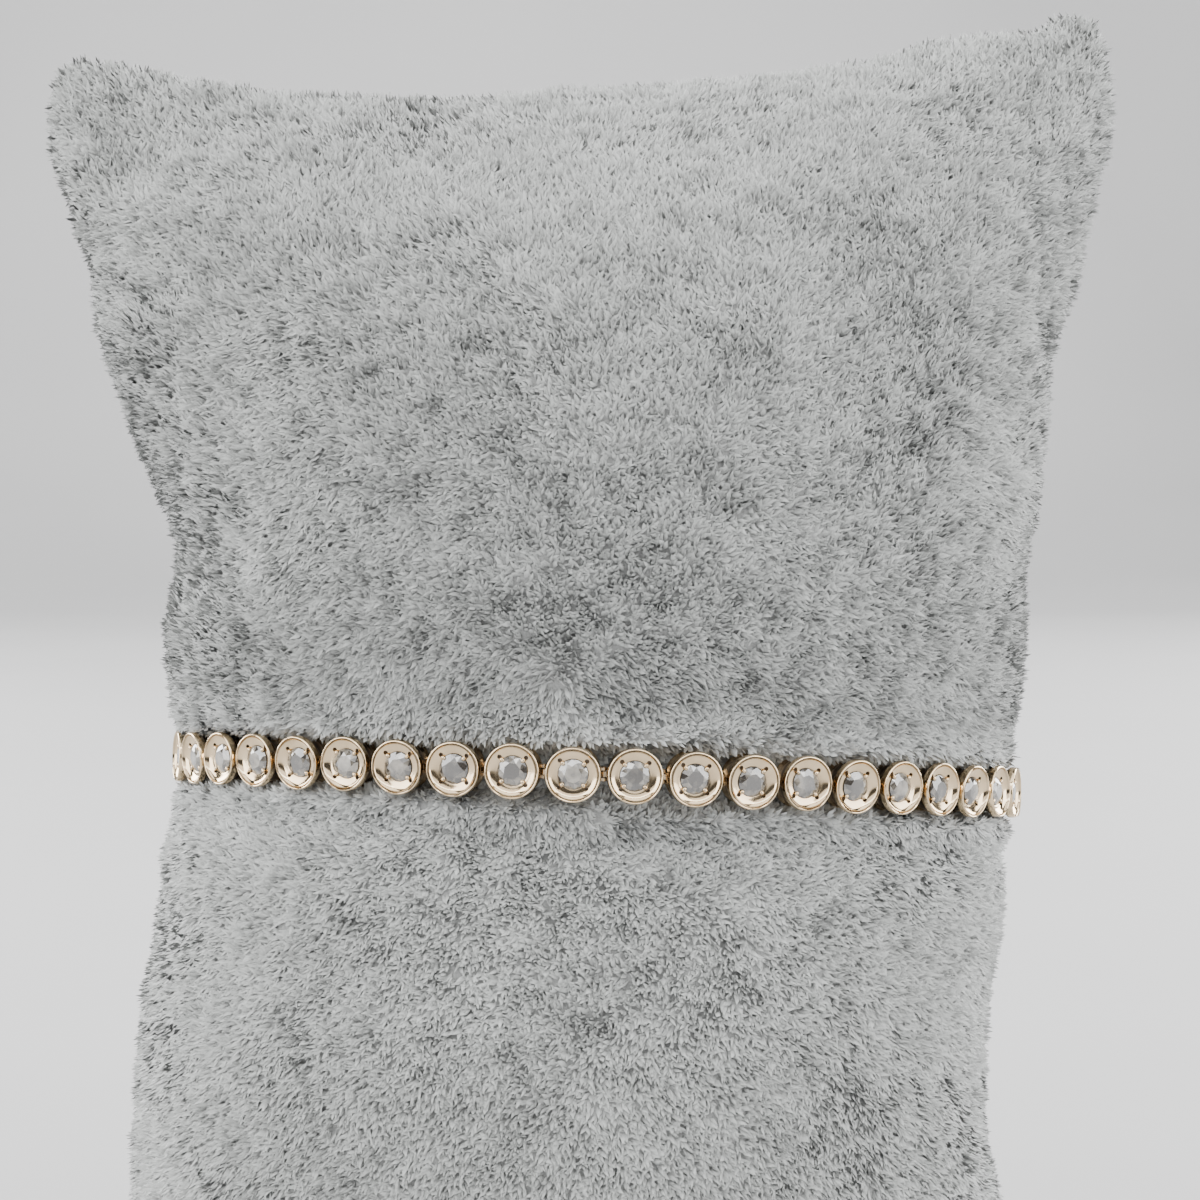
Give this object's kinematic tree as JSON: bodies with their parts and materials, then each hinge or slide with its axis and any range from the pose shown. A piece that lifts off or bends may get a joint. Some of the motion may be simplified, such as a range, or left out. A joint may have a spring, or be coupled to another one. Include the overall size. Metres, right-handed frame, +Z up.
{
  "type": "tennis bracelet on a display pillow",
  "caption": "Rose gold tennis bracelet of hinged round cups, each with a stone in a polished dish, fastened round an upright plush display pillow.",
  "frame": {"origin": "middle of the pillow's flat base, under the middle of the whole object's box", "axes": "+Z up, +X to the right and -Y towards the viewer, as in the picture"},
  "size_m": [0.0848, 0.053, 0.1133],
  "materials": {
    "gold": "polished pale rose gold",
    "plush": "short grey pile",
    "stone": "clear, slightly milky cut stone"
  },
  "bodies": {
    "root": {"pillow": "plush", "link_01": "gold", "link_02": "gold", "link_03": "gold", "link_04": "gold", "link_05": "gold", "link_06": "gold", "link_07": "gold", "link_08": "gold", "link_09": "gold", "link_10": "gold", "link_11": "gold", "link_12": "gold", "link_13": "gold", "link_14": "gold", "link_15": "gold", "link_16": "gold", "link_17": "gold", "link_18": "gold", "link_19": "gold", "link_20": "gold", "link_21": "gold", "link_22": "gold", "link_23": "gold", "link_24": "gold", "link_25": "gold", "link_26": "gold", "link_27": "gold", "link_28": "gold", "link_29": "gold", "link_30": "gold", "link_31": "gold", "link_32": "gold", "link_33": "gold", "link_34": "gold", "link_35": "gold", "link_36": "gold", "link_37": "gold", "link_38": "gold", "link_39": "gold", "link_40": "gold", "clasp": "gold"}
  },
  "joints": []
}
